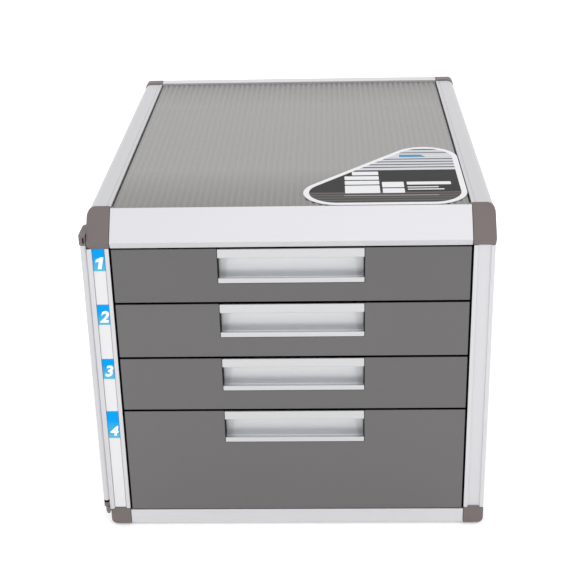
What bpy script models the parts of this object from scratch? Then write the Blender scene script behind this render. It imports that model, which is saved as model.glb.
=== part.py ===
"""Desktop filing cabinet: an aluminium frame, four sliding drawers and a swing bar.

Three shallow drawers and one of double height run in a box of posts, rails and
corner blocks. A narrow bar hinged at the front left corner swings in front of the
drawers to hold them shut. The origin is on the ground under the middle of the
cabinet with its bar, +Z is up and the drawers open towards -Y.
"""

import math

import bmesh
import bpy
from mathutils import Matrix, Vector

MM = 0.001

# Overall sizes.
WIDTH = 304.4 * MM
DEPTH = 375.8 * MM
HEIGHT = 274.6 * MM
GAP = 0.3 * MM
BAR_REACH = 5.4 * MM
CAP_PROUD = 3.8 * MM
FASCIA_PROUD = 3.2 * MM

# Places that the other sizes start from.
CENTRE_X = BAR_REACH / 2
FRONT_Y = -DEPTH / 2 + CAP_PROUD
BACK_Y = DEPTH / 2
HALF_WIDTH = WIDTH / 2

# Posts and corner blocks, measured out from the cabinet's centre line.
POST_INNER = 136.0 * MM
POST_OUTER = 152.1 * MM
POST_DEPTH = 15.8 * MM
CAP_INNER = 135.1 * MM
CAP_ROUND = 6.0 * MM
CAP_REACH = 17.0 * MM
CHANNEL_INNER = 139.3 * MM
CHANNEL_OUTER = 148.9 * MM
CHANNEL_DEEP = 1.2 * MM

# Heights.
FOOT_HEIGHT = 1.0 * MM
BOTTOM_CAP_TOP = 15.7 * MM
BOTTOM_RAIL_LOW = 2.2 * MM
BOTTOM_RAIL_TOP = 14.7 * MM
DRAWER_PITCH = 46.6 * MM
DRAWERS_TOP = BOTTOM_RAIL_TOP + 5 * DRAWER_PITCH
FASCIA_BOTTOM = 246.9 * MM
FASCIA_TOP = 273.6 * MM
FASCIA_CHAMFER = 5.5 * MM
SIDE_RAIL_LOW = 256.0 * MM
PANEL_TOP = 273.3 * MM
PANEL_THICK = 1.8 * MM
SHEET = 1.2 * MM

# Top rails around the panel.
PANEL_HALF = 134.2 * MM
PANEL_FRONT = 14.8 * MM
PANEL_BACK = 355.3 * MM
REAR_RAIL_FRONT = 357.5 * MM
REAR_ROUND = 4.0 * MM
SIDE_RAIL_GAP = 0.7 * MM
SIDE_RAIL_ROUND = 6.5 * MM

# Drawers, the topmost first, as whole numbers of the pitch.
DRAWER_PITCHES = (1, 1, 1, 2)
FRONT_GAP = 1.6 * MM
FRONT_EDGE_GAP = 0.85 * MM
FIRST_FRONT_TOP = FASCIA_BOTTOM - 1.2 * MM
FRONT_THICK = 12.0 * MM
TRAY_HALF = 132.2 * MM
TRAY_WALL = 1.5 * MM
TRAY_BACK = 346.0 * MM
TRAY_RAISE = 1.6 * MM
TRAY_TOP_GAP = 2.8 * MM
LEDGE_HALF_THICK = 1.0 * MM
LEDGE_INNER = 121.0 * MM
RUNNER_INNER = 133.6 * MM
RUNNER_OUTER = POST_INNER - 0.4 * MM
RUNNER_FRONT = FRONT_THICK + 1.6 * MM
BACK_SHEET_IN = 4.0 * MM

# Recessed handles.
HANDLE_WIDTH = 110.0 * MM
HANDLE_HEIGHT = 27.6 * MM
HANDLE_DEPTH = 9.4 * MM
HANDLE_PROUD = 0.4 * MM
HANDLE_BAND = 7.1 * MM
HANDLE_LIP = 4.0 * MM
HANDLE_WALL = 1.2 * MM
HANDLE_END = 0.5 * MM
HANDLE_DROP = 0.4 * MM
POCKET_ROUND = 1.0 * MM

# Swing bar and its hinge.
PIVOT_OUT = HALF_WIDTH + 2.5 * MM
PIVOT_IN = -1.0 * MM
BARREL_RADIUS = 2.2 * MM
BORE_RADIUS = 1.4 * MM
COLLAR_RADIUS = 1.95 * MM
PIN_RADIUS = 1.1 * MM
PIN_REACH = 5.0 * MM
BAR_WIDTH = 28.0 * MM
BAR_WEB_NEAR = 0.4 * MM
BAR_WEB_FAR = 2.1 * MM
BAR_LOW = 26.0 * MM
BARREL_TOP = 250.4 * MM
WEB_TOP = 247.0 * MM
END_CAP_LOW = 19.9 * MM
END_CAP_TOP = 23.8 * MM
BRACKET_BOTTOM = 13.5 * MM
BRACKET_TOP = 258.2 * MM
BRACKET_NEAR = HALF_WIDTH + 0.3 * MM
BRACKET_FAR = HALF_WIDTH + BAR_REACH
BRACKET_NOSE = 2.2 * MM
UPPER_BRACKET_LENGTH = 22.0 * MM
UPPER_BRACKET_ROUND = 4.8 * MM
LOWER_BRACKET_LENGTH = 12.0 * MM
LOWER_BRACKET_ROUND = 2.0 * MM
LOWER_BRACKET_INSET = 2.2 * MM
WINDOW_WALL = 0.8 * MM
WINDOW_WIDE = 1.3 * MM
WINDOW_DEEP = 4.0 * MM
WINDOW_EDGE = 1.3 * MM
HINGE_GAP = 0.4 * MM

# Labels.
LABEL_HEIGHTS = (18.0 * MM, 17.2 * MM, 17.7 * MM, 24.6 * MM)
LABEL_THICK = 0.5 * MM
STICKER_THICK = 0.35 * MM
STICKER_RADIUS = 27.0 * MM
STICKER_LEFT = 9.0 * MM
STICKER_RIGHT = 134.0 * MM
STICKER_BACK = 149.6 * MM

LIGHT_ALUMINIUM = ("light_aluminium", (0.76, 0.76, 0.78), 0.38, 0.55)
PANEL_METAL = ("panel_metal", (0.38, 0.375, 0.36), 0.5, 0.4)
WARM_PLASTIC = ("warm_plastic", (0.215, 0.185, 0.178), 0.5, 0.0)
DARK_PAINT = ("dark_paint", (0.17, 0.162, 0.162), 0.42, 0.1)
STEEL_SHEET = ("steel_sheet", (0.1, 0.1, 0.105), 0.45, 0.6)
BLACK_PLASTIC = ("black_plastic", (0.03, 0.03, 0.032), 0.55, 0.0)
RUBBER = ("rubber", (0.02, 0.02, 0.02), 0.85, 0.0)
BLUE_LABEL = ("blue_label", (0.0, 0.33, 0.9), 0.4, 0.0)
DARK_LABEL = ("dark_label", (0.09, 0.085, 0.085), 0.4, 0.0)

ROUND_SEGMENTS = 16
MODEL_COLLECTION = "filing_cabinet"
CUTTER_COLLECTION = "cutters"


def start_scene():
    """Remove every object and make the two collections."""
    for obj in list(bpy.data.objects):
        bpy.data.objects.remove(obj, do_unlink=True)
    for name in (MODEL_COLLECTION, CUTTER_COLLECTION):
        collection = bpy.data.collections.new(name)
        bpy.context.scene.collection.children.link(collection)


def material(finish):
    """Return the Principled material of one finish, made on first use."""
    name, colour, roughness, metallic = finish
    found = bpy.data.materials.get(name)
    if found:
        return found
    made = bpy.data.materials.new(name)
    made.use_nodes = True
    shader = made.node_tree.nodes["Principled BSDF"]
    shader.inputs["Base Color"].default_value = (*colour, 1.0)
    shader.inputs["Roughness"].default_value = roughness
    shader.inputs["Metallic"].default_value = metallic
    return made


def side_x(sign, out):
    """World x of a place that lies `out` from the cabinet's centre line."""
    return CENTRE_X + sign * out


def front_y(back):
    """World y of a place that lies `back` behind the drawers' front plane."""
    return FRONT_Y + back


def arc(centre, radius, start, end, steps):
    """Points along an arc, with its angles in degrees."""
    points = []
    for step in range(steps + 1):
        angle = math.radians(start + (end - start) * step / steps)
        points.append((centre[0] + radius * math.cos(angle), centre[1] + radius * math.sin(angle)))
    return points


def finish_object(name, bm, finish, parent=None, cutter=False):
    """Turn a bmesh with outward faces into a named object."""
    bmesh.ops.recalc_face_normals(bm, faces=bm.faces)
    mesh = bpy.data.meshes.new(name)
    bm.to_mesh(mesh)
    bm.free()
    obj = bpy.data.objects.new(name, mesh)
    collection = CUTTER_COLLECTION if cutter else MODEL_COLLECTION
    bpy.data.collections[collection].objects.link(obj)
    if cutter:
        obj.hide_render = True
        obj.display_type = "WIRE"
    else:
        mesh.materials.append(material(finish))
    if parent:
        obj.parent = parent
        obj.matrix_parent_inverse = Matrix.Translation(-parent.location)
    return obj


def box(name, low, high, finish=None, parent=None, cutter=False):
    """A box between two opposite corners."""
    low = Vector(low)
    high = Vector(high)
    place = Matrix.Translation((low + high) / 2) @ Matrix.Diagonal((*(high - low), 1.0))
    bm = bmesh.new()
    bmesh.ops.create_cube(bm, size=1.0, matrix=place)
    return finish_object(name, bm, finish, parent, cutter)


def prism(name, outline, axis, start, end, finish=None, parent=None, cutter=False):
    """Push a flat outline along an axis. X takes (y, z), Y takes (x, z), Z takes (x, y)."""
    spots = {
        "X": lambda u, v: (start, u, v),
        "Y": lambda u, v: (u, start, v),
        "Z": lambda u, v: (u, v, start),
    }
    way = {"X": (1, 0, 0), "Y": (0, 1, 0), "Z": (0, 0, 1)}
    bm = bmesh.new()
    corners = [bm.verts.new(spots[axis](u, v)) for u, v in outline]
    face = bm.faces.new(corners)
    pushed = bmesh.ops.extrude_face_region(bm, geom=[face], use_keep_orig=True)
    moved = [item for item in pushed["geom"] if isinstance(item, bmesh.types.BMVert)]
    bmesh.ops.translate(bm, verts=moved, vec=Vector(way[axis]) * (end - start))
    return finish_object(name, bm, finish, parent, cutter)


def cylinder(name, centre, low, high, radius, finish=None, cutter=False):
    """An upright cylinder between two heights."""
    bm = bmesh.new()
    bmesh.ops.create_cone(
        bm,
        cap_ends=True,
        segments=ROUND_SEGMENTS,
        radius1=radius,
        radius2=radius,
        depth=high - low,
        matrix=Matrix.Translation((*centre, (low + high) / 2)),
    )
    return finish_object(name, bm, finish, cutter=cutter)


def boolean(obj, cutter, operation):
    """Cut, join or intersect an object with a cutter."""
    modifier = obj.modifiers.new(operation.lower(), "BOOLEAN")
    modifier.operation = operation
    modifier.solver = "EXACT"
    modifier.object = cutter


def pivot(name, location):
    """An empty that carries one moving body."""
    empty = bpy.data.objects.new(name, None)
    empty.location = location
    bpy.data.collections[MODEL_COLLECTION].objects.link(empty)
    return empty


def corner_places():
    """Yield each corner's name, side sign and whether it is at the front."""
    for end, is_front in (("front", True), ("rear", False)):
        for side, sign in (("left", -1), ("right", 1)):
            yield f"{end}_{side}", sign, is_front


def corner_y(is_front, inward):
    """World y of a place `inward` from the front plane or from the back."""
    return front_y(inward) if is_front else BACK_Y - inward


def build_posts():
    """Four upright posts, each with a shallow channel in its outward face."""
    rounding = 0.5 * MM
    section = [
        (POST_INNER, POST_DEPTH),
        (POST_INNER, 0.0),
        (CHANNEL_INNER, 0.0),
        (CHANNEL_INNER, CHANNEL_DEEP),
        (CHANNEL_OUTER, CHANNEL_DEEP),
        (CHANNEL_OUTER, 0.0),
    ]
    section += arc((POST_OUTER - rounding, rounding), rounding, -90, 0, 4)
    section.append((POST_OUTER, POST_DEPTH))
    low = BOTTOM_CAP_TOP + GAP
    high = FASCIA_BOTTOM - GAP
    for corner, sign, is_front in corner_places():
        outline = [(side_x(sign, out), corner_y(is_front, inward)) for out, inward in section]
        prism(f"{corner}_post", outline, "Z", low, high, LIGHT_ALUMINIUM)


def build_bottom_caps():
    """Corner blocks under the posts, rounded at their lower outer edge, and their feet."""
    outer = HALF_WIDTH
    rounding = 4.5 * MM
    section = [(POST_INNER, BOTTOM_CAP_TOP), (POST_INNER, FOOT_HEIGHT + GAP)]
    section += arc((outer - rounding, FOOT_HEIGHT + GAP + rounding), rounding, -90, 0, 6)
    section.append((outer, BOTTOM_CAP_TOP))
    tongue_rise = 1.2 * MM
    foot_radius = 4.0 * MM
    foot_out = POST_INNER + 4.8 * MM
    for corner, sign, is_front in corner_places():
        outline = [(side_x(sign, out), height) for out, height in section]
        start, end = sorted((corner_y(is_front, 0.0), corner_y(is_front, POST_DEPTH)))
        cap = prism(f"{corner}_bottom_cap", outline, "Y", start, end, WARM_PLASTIC)
        low_x, high_x = sorted((side_x(sign, CHANNEL_INNER + GAP), side_x(sign, CHANNEL_OUTER - GAP)))
        low_y, high_y = sorted((corner_y(is_front, 0.0), corner_y(is_front, CHANNEL_DEEP - GAP)))
        low = (low_x, low_y, BOTTOM_CAP_TOP - tongue_rise)
        high = (high_x, high_y, BOTTOM_CAP_TOP + tongue_rise)
        boolean(cap, box(f"{corner}_tongue", low, high, cutter=True), "UNION")
        centre = (side_x(sign, foot_out), corner_y(is_front, POST_DEPTH / 2))
        cylinder(f"{corner}_foot", centre, 0.0, FOOT_HEIGHT, foot_radius, RUBBER)


def build_top_caps():
    """Corner blocks over the posts: rounded at their outer edge, sloped like the fascia."""
    section = [(CAP_INNER, FASCIA_BOTTOM), (HALF_WIDTH, FASCIA_BOTTOM)]
    section += arc((HALF_WIDTH - CAP_ROUND, HEIGHT - CAP_ROUND), CAP_ROUND, 0, 90, 6)
    section.append((CAP_INNER, HEIGHT))
    spare = 2.0 * MM
    slope_back = PANEL_FRONT - 1.5 * MM
    edge_back = PANEL_FRONT + 0.4 * MM
    front_profile = [
        (0.0, FASCIA_BOTTOM - spare),
        (0.0, FASCIA_BOTTOM),
        (-CAP_PROUD, FASCIA_BOTTOM + FASCIA_CHAMFER),
        (slope_back, FASCIA_TOP - GAP),
        (edge_back, HEIGHT),
        (edge_back, HEIGHT + spare),
        (CAP_REACH, HEIGHT + spare),
        (CAP_REACH, SIDE_RAIL_LOW),
        (POST_DEPTH, SIDE_RAIL_LOW),
        (POST_DEPTH, FASCIA_BOTTOM - spare),
    ]
    back = DEPTH - CAP_PROUD
    rear_profile = [(REAR_RAIL_FRONT, HEIGHT + spare), (REAR_RAIL_FRONT, FASCIA_BOTTOM - spare)]
    rear_profile.append((back, FASCIA_BOTTOM - spare))
    rear_profile += arc((back - REAR_ROUND, HEIGHT - REAR_ROUND), REAR_ROUND, 0, 90, 5)
    rear_profile.append((back - REAR_ROUND, HEIGHT + spare))
    for corner, sign, is_front in corner_places():
        outline = [(side_x(sign, out), height) for out, height in section]
        start = front_y(-CAP_PROUD) if is_front else front_y(REAR_RAIL_FRONT)
        end = front_y(CAP_REACH) if is_front else BACK_Y
        cap = prism(f"{corner}_top_cap", outline, "Y", start, end, WARM_PLASTIC)
        profile = front_profile if is_front else rear_profile
        shape = [(front_y(place), height) for place, height in profile]
        low_x, high_x = sorted((side_x(sign, CAP_INNER - spare), side_x(sign, HALF_WIDTH + spare)))
        mould = prism(f"{corner}_cap_mould", shape, "X", low_x, high_x, cutter=True)
        boolean(cap, mould, "INTERSECT")


def build_top_rails():
    """The sloping front fascia, the rear rail and the two side rails."""
    half = CAP_INNER - GAP
    ledge_top = PANEL_TOP - PANEL_THICK - GAP
    ledge_low = ledge_top - 2.4 * MM
    ledge_back = PANEL_FRONT + 9.0 * MM
    wall_back = 2.5 * MM
    wall_high = FASCIA_BOTTOM + 7.0 * MM
    slope_back = PANEL_FRONT - 0.8 * MM
    fascia = [
        (0.0, FASCIA_BOTTOM),
        (-FASCIA_PROUD, FASCIA_BOTTOM + FASCIA_CHAMFER),
        (slope_back, FASCIA_TOP),
        (PANEL_FRONT - GAP, FASCIA_TOP),
        (PANEL_FRONT - GAP, ledge_top),
        (ledge_back, ledge_top),
        (ledge_back, ledge_low),
        (slope_back, ledge_low),
        (wall_back, wall_high),
        (wall_back, FASCIA_BOTTOM),
    ]
    outline = [(front_y(back), height) for back, height in fascia]
    prism("front_top_rail", outline, "X", side_x(-1, half), side_x(1, half), LIGHT_ALUMINIUM)

    rear = [(front_y(REAR_RAIL_FRONT), SIDE_RAIL_LOW), (BACK_Y, SIDE_RAIL_LOW)]
    rear += arc((BACK_Y - REAR_ROUND, HEIGHT - REAR_ROUND), REAR_ROUND, 0, 90, 5)
    rear.append((front_y(REAR_RAIL_FRONT), HEIGHT))
    prism("rear_top_rail", rear, "X", side_x(-1, half), side_x(1, half), LIGHT_ALUMINIUM)

    rail_inner = PANEL_HALF + SIDE_RAIL_GAP
    section = [(rail_inner, SIDE_RAIL_LOW), (HALF_WIDTH, SIDE_RAIL_LOW)]
    centre = (HALF_WIDTH - SIDE_RAIL_ROUND, FASCIA_TOP - SIDE_RAIL_ROUND)
    section += arc(centre, SIDE_RAIL_ROUND, 0, 90, 6)
    section.append((rail_inner, FASCIA_TOP))
    start = front_y(CAP_REACH + GAP)
    end = front_y(REAR_RAIL_FRONT - GAP)
    for side, sign in (("left", -1), ("right", 1)):
        outline = [(side_x(sign, out), height) for out, height in section]
        prism(f"{side}_top_rail", outline, "Y", start, end, LIGHT_ALUMINIUM)


def build_bottom_rails():
    """Four rails between the bottom corner blocks."""
    half = POST_INNER - GAP
    low_z = BOTTOM_RAIL_LOW
    high_z = BOTTOM_RAIL_TOP
    front_back = (("front", front_y(0.0)), ("rear", BACK_Y - POST_DEPTH))
    for end, start in front_back:
        low = (side_x(-1, half), start, low_z)
        high = (side_x(1, half), start + POST_DEPTH, high_z)
        box(f"{end}_bottom_rail", low, high, LIGHT_ALUMINIUM)
    for side, sign in (("left", -1), ("right", 1)):
        near, far = sorted((side_x(sign, POST_INNER + 1.4 * MM), side_x(sign, POST_OUTER)))
        low = (near, front_y(POST_DEPTH + GAP), low_z)
        high = (far, BACK_Y - POST_DEPTH - GAP, high_z)
        box(f"{side}_bottom_rail", low, high, LIGHT_ALUMINIUM)


def build_panels():
    """Sheets that close the top, the bottom, the back and both sides."""
    low = (side_x(-1, PANEL_HALF), front_y(PANEL_FRONT), PANEL_TOP - PANEL_THICK)
    high = (side_x(1, PANEL_HALF), front_y(PANEL_BACK), PANEL_TOP)
    box("top_panel", low, high, PANEL_METAL)

    frame_front = front_y(POST_DEPTH + GAP)
    frame_back = BACK_Y - POST_DEPTH - GAP
    floor_half = POST_INNER + 1.0 * MM
    floor_low = 8.0 * MM
    low = (side_x(-1, floor_half), frame_front, floor_low)
    high = (side_x(1, floor_half), frame_back, floor_low + SHEET)
    box("bottom_panel", low, high, STEEL_SHEET)

    sheet_low = BOTTOM_RAIL_TOP + GAP
    sheet_high = SIDE_RAIL_LOW - GAP
    back_start = BACK_Y - BACK_SHEET_IN
    low = (side_x(-1, CAP_INNER - GAP), back_start, sheet_low)
    high = (side_x(1, CAP_INNER - GAP), back_start + SHEET, sheet_high)
    box("back_panel", low, high, STEEL_SHEET)

    side_out = HALF_WIDTH - 2.9 * MM
    for side, sign in (("left", -1), ("right", 1)):
        near, far = sorted((side_x(sign, side_out), side_x(sign, side_out + SHEET)))
        low = (near, frame_front, sheet_low)
        high = (far, frame_back, sheet_high)
        box(f"{side}_side_panel", low, high, PANEL_METAL)


def drawer_floor_lines():
    """Heights of the line under each drawer, the topmost first."""
    line = DRAWERS_TOP
    for pitches in DRAWER_PITCHES:
        line -= pitches * DRAWER_PITCH
        yield line


def front_top(floor_line, pitches):
    """Height of the top edge of a drawer's front."""
    return min(floor_line + pitches * DRAWER_PITCH - FRONT_EDGE_GAP, FIRST_FRONT_TOP)


def build_runner_frames():
    """Upright liners whose ledges carry the drawers."""
    low = BOTTOM_RAIL_TOP + GAP
    high = FASCIA_BOTTOM - GAP
    start = front_y(RUNNER_FRONT)
    end = BACK_Y - BACK_SHEET_IN - GAP
    section = [(RUNNER_OUTER, high), (RUNNER_INNER, high)]
    for line in drawer_floor_lines():
        ledge_top = line + LEDGE_HALF_THICK
        ledge_low = max(line - LEDGE_HALF_THICK, low)
        section.append((RUNNER_INNER, ledge_top))
        section.append((LEDGE_INNER, ledge_top))
        section.append((LEDGE_INNER, ledge_low))
        if ledge_low > low:
            section.append((RUNNER_INNER, ledge_low))
    section.append((RUNNER_OUTER, low))
    for side, sign in (("left", -1), ("right", 1)):
        outline = [(side_x(sign, out), height) for out, height in section]
        prism(f"{side}_runner_frame", outline, "Y", start, end, STEEL_SHEET)


def handle_section(top):
    """Side view of the handle: a band, a pocket and a lip, as (back, height)."""
    back = HANDLE_DEPTH - HANDLE_PROUD
    bottom = top - HANDLE_HEIGHT
    roof = top - HANDLE_BAND
    lip_back = HANDLE_WALL - HANDLE_PROUD
    corner_back = back - HANDLE_WALL - POCKET_ROUND
    section = [
        (-HANDLE_PROUD, top),
        (back, top),
        (back, bottom),
        (-HANDLE_PROUD, bottom),
        (-HANDLE_PROUD, bottom + HANDLE_LIP),
        (lip_back, bottom + HANDLE_LIP),
        (lip_back, bottom + HANDLE_WALL),
    ]
    section += arc((corner_back, bottom + HANDLE_WALL + POCKET_ROUND), POCKET_ROUND, -90, 0, 4)
    section += arc((corner_back, roof - POCKET_ROUND), POCKET_ROUND, 0, 90, 4)
    section.append((-HANDLE_PROUD, roof))
    return section


def build_drawer(number, floor_line, pitches):
    """One drawer: tray, front with its handle notch, handle and its end plates."""
    name = f"drawer_{number}"
    low_z = floor_line + FRONT_EDGE_GAP
    high_z = front_top(floor_line, pitches)
    parent = pivot(f"{name}_origin", (CENTRE_X, FRONT_Y, low_z))

    half = POST_INNER - FRONT_GAP
    notch_half = HANDLE_WIDTH / 2 + GAP
    notch_low = high_z - HANDLE_DROP - HANDLE_HEIGHT - GAP
    outline = [
        (side_x(-1, half), low_z),
        (side_x(1, half), low_z),
        (side_x(1, half), high_z),
        (side_x(1, notch_half), high_z),
        (side_x(1, notch_half), notch_low),
        (side_x(-1, notch_half), notch_low),
        (side_x(-1, notch_half), high_z),
        (side_x(-1, half), high_z),
    ]
    front_back = front_y(FRONT_THICK)
    prism(f"{name}_front", outline, "Y", front_y(0.0), front_back, DARK_PAINT, parent)

    handle_top = high_z - HANDLE_DROP
    section = [(front_y(back), height) for back, height in handle_section(handle_top)]
    start = side_x(-1, HANDLE_WIDTH / 2)
    end = side_x(1, HANDLE_WIDTH / 2)
    prism(f"{name}_handle", section, "X", start, end, LIGHT_ALUMINIUM, parent)

    plate_low = handle_top - HANDLE_HEIGHT + HANDLE_LIP + GAP
    plate_high = handle_top - HANDLE_BAND - GAP
    plate_back = HANDLE_DEPTH - HANDLE_PROUD - HANDLE_WALL - POCKET_ROUND
    plate_far = HANDLE_WIDTH / 2
    for side, sign in (("left", -1), ("right", 1)):
        near, far = sorted((side_x(sign, plate_far), side_x(sign, plate_far - HANDLE_END)))
        low = (near, front_y(GAP), plate_low)
        high = (far, front_y(plate_back), plate_high)
        box(f"{name}_handle_{side}_end", low, high, BLACK_PLASTIC, parent)

    tray_low = floor_line + TRAY_RAISE
    tray_high = high_z + FRONT_EDGE_GAP - TRAY_TOP_GAP
    tray_front = front_back + GAP
    low = (side_x(-1, TRAY_HALF), tray_front, tray_low)
    high = (side_x(1, TRAY_HALF), front_y(TRAY_BACK), tray_high)
    tray = box(f"{name}_tray", low, high, STEEL_SHEET, parent)
    inner = TRAY_HALF - TRAY_WALL
    low = (side_x(-1, inner), tray_front + TRAY_WALL, tray_low + TRAY_WALL)
    high = (side_x(1, inner), front_y(TRAY_BACK) - TRAY_WALL, tray_high + TRAY_WALL)
    cavity = box(f"{name}_cavity", low, high, cutter=True)
    boolean(tray, cavity, "DIFFERENCE")


def build_drawers():
    """The four drawers, numbered from the top."""
    for index, line in enumerate(drawer_floor_lines()):
        build_drawer(index + 1, line, DRAWER_PITCHES[index])


def bracket_outline(far, length, rounding):
    """Plan of a hinge bracket, with rounded outer corners."""
    front = PIVOT_IN - BARREL_RADIUS
    section = [(BRACKET_NEAR, length), (BRACKET_NEAR, front)]
    section += arc((far - BRACKET_NOSE, front + BRACKET_NOSE), BRACKET_NOSE, -90, 0, 4)
    section += arc((far - rounding, length - rounding), rounding, 0, 90, 4)
    return [(side_x(-1, out), front_y(back)) for out, back in section]


def build_hinge():
    """The two fixed brackets with the pins that the swing bar turns on."""
    centre = (side_x(-1, PIVOT_OUT), front_y(PIVOT_IN))
    upper_low = BARREL_TOP + HINGE_GAP
    outline = bracket_outline(BRACKET_FAR, UPPER_BRACKET_LENGTH, UPPER_BRACKET_ROUND)
    upper = prism("upper_hinge_bracket", outline, "Z", upper_low, BRACKET_TOP, WARM_PLASTIC)
    pin_low = upper_low - PIN_REACH
    pin = cylinder("upper_pin", centre, pin_low, BRACKET_TOP - MM, PIN_RADIUS, cutter=True)
    boolean(upper, pin, "UNION")
    window_near = BRACKET_NEAR + WINDOW_WALL
    front = front_y(PIVOT_IN - BARREL_RADIUS)
    low = (side_x(-1, window_near + WINDOW_WIDE), front - MM, upper_low + WINDOW_EDGE)
    high = (side_x(-1, window_near), front + WINDOW_DEEP, BRACKET_TOP - WINDOW_EDGE)
    boolean(upper, box("bracket_window", low, high, cutter=True), "DIFFERENCE")

    far = BRACKET_FAR - LOWER_BRACKET_INSET
    outline = bracket_outline(far, LOWER_BRACKET_LENGTH, LOWER_BRACKET_ROUND)
    lower_top = END_CAP_LOW - HINGE_GAP
    lower = prism("lower_hinge_bracket", outline, "Z", BRACKET_BOTTOM, lower_top, WARM_PLASTIC)
    pin_high = BAR_LOW + PIN_REACH
    pin = cylinder("lower_pin", centre, BRACKET_BOTTOM + MM, pin_high, PIN_RADIUS, cutter=True)
    boolean(lower, pin, "UNION")


def bar_outline(width):
    """Plan of the swing bar folded back: a round barrel and a web along the side."""
    centre_x = side_x(-1, PIVOT_OUT)
    centre_y = front_y(PIVOT_IN)
    near_angle = math.degrees(math.acos(BAR_WEB_NEAR / BARREL_RADIUS))
    far_angle = 360 + math.degrees(math.acos(BAR_WEB_FAR / BARREL_RADIUS))
    outline = arc((centre_x, centre_y), BARREL_RADIUS, near_angle, far_angle, 15)
    outline.append((centre_x + BAR_WEB_FAR, centre_y + width))
    outline.append((centre_x + BAR_WEB_NEAR, centre_y + width))
    return outline


def build_swing_bar():
    """The bar that swings in front of the drawers, and its lower end cap."""
    centre = (side_x(-1, PIVOT_OUT), front_y(PIVOT_IN))
    parent = pivot("swing_bar_pivot", (*centre, BAR_LOW))
    bar = prism("swing_bar", bar_outline(BAR_WIDTH), "Z", BAR_LOW, BARREL_TOP, LIGHT_ALUMINIUM, parent)
    bore = cylinder("bar_bore", centre, 0.0, HEIGHT, BORE_RADIUS, cutter=True)
    boolean(bar, bore, "DIFFERENCE")
    low = (centre[0] - BARREL_RADIUS, centre[1] + BARREL_RADIUS, WEB_TOP)
    high = (centre[0] + 2 * BARREL_RADIUS, centre[1] + 2 * BAR_WIDTH, HEIGHT)
    step = box("bar_step", low, high, cutter=True)
    boolean(bar, step, "DIFFERENCE")

    cap = prism("swing_bar_end_cap", bar_outline(BAR_WIDTH), "Z", END_CAP_LOW, END_CAP_TOP,
                WARM_PLASTIC, parent)
    collar_high = BAR_LOW - GAP
    collar = cylinder("cap_collar", centre, END_CAP_LOW + MM, collar_high, COLLAR_RADIUS, cutter=True)
    boolean(cap, collar, "UNION")
    boolean(cap, bore, "DIFFERENCE")


def build_labels():
    """Number labels in the left post's channel, and the sticker on the top panel."""
    near = side_x(-1, CHANNEL_OUTER - GAP)
    far = side_x(-1, CHANNEL_INNER + GAP)
    back = CHANNEL_DEEP - GAP
    for index, line in enumerate(drawer_floor_lines()):
        high_z = min(line + DRAWER_PITCHES[index] * DRAWER_PITCH, FASCIA_BOTTOM) - 2 * GAP
        low = (near, front_y(back - LABEL_THICK), high_z - LABEL_HEIGHTS[index])
        box(f"index_label_{index + 1}", low, (far, front_y(back), high_z), BLUE_LABEL)

    radius = STICKER_RADIUS
    front_line = PANEL_FRONT + GAP + radius
    right = STICKER_RIGHT - radius
    centres = ((right, front_line), (right, STICKER_BACK - radius), (STICKER_LEFT + radius, front_line))
    rise = centres[1][1] - centres[2][1]
    slope = math.degrees(math.atan2(rise, right - centres[2][0]))
    outline = arc(centres[0], radius, -90, 0, 6)
    outline += arc(centres[1], radius, 0, 90 + slope, 8)
    outline += arc(centres[2], radius, 90 + slope, 270, 8)
    outline = [(CENTRE_X + across, front_y(back)) for across, back in outline]
    low_z = PANEL_TOP + GAP
    prism("top_label", outline, "Z", low_z, low_z + STICKER_THICK, DARK_LABEL)


def main():
    """Build the whole cabinet."""
    start_scene()
    build_bottom_caps()
    build_posts()
    build_top_caps()
    build_bottom_rails()
    build_top_rails()
    build_panels()
    build_runner_frames()
    build_drawers()
    build_hinge()
    build_swing_bar()
    build_labels()


main()
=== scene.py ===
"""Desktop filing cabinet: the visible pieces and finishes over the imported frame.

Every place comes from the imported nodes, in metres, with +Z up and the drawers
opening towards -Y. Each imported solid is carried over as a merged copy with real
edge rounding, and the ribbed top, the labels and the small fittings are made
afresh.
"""

import logging
import math
from dataclasses import dataclass, field, replace
from enum import Enum
from typing import Iterable, Sequence

import bmesh
import bpy
from bmesh.types import BMEdge, BMesh, BMFace, BMVert
from mathutils import Matrix, Vector

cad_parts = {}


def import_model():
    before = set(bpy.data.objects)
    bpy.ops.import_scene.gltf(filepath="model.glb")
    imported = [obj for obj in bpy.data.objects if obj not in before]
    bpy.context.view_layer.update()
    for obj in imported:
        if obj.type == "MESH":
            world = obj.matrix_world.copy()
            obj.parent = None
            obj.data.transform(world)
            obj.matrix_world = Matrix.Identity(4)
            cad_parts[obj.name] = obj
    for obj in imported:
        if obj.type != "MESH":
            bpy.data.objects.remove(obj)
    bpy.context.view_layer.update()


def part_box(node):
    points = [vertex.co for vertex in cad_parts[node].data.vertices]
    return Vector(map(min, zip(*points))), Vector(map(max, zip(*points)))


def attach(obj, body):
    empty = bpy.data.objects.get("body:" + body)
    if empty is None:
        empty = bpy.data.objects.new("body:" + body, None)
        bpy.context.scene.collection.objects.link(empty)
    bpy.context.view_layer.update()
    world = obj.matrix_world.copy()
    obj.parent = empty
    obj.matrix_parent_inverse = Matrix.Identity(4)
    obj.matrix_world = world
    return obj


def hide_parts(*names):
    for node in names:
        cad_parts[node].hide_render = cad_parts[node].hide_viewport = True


LOG = logging.getLogger("filing_cabinet")
CABINET = "cabinet"
BAR = "swing_bar"
SIDES = (("left", -1.0), ("right", 1.0))
MM = 0.001
MERGE = 0.002 * MM
FLAT = 0.5
WHITE = (1.0, 1.0, 1.0, 1.0)
DRIFT_SHARE = 0.15
Point = tuple[float, float]
Colour = tuple[float, float, float]
Node = bpy.types.Node
Socket = bpy.types.NodeSocket


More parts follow.
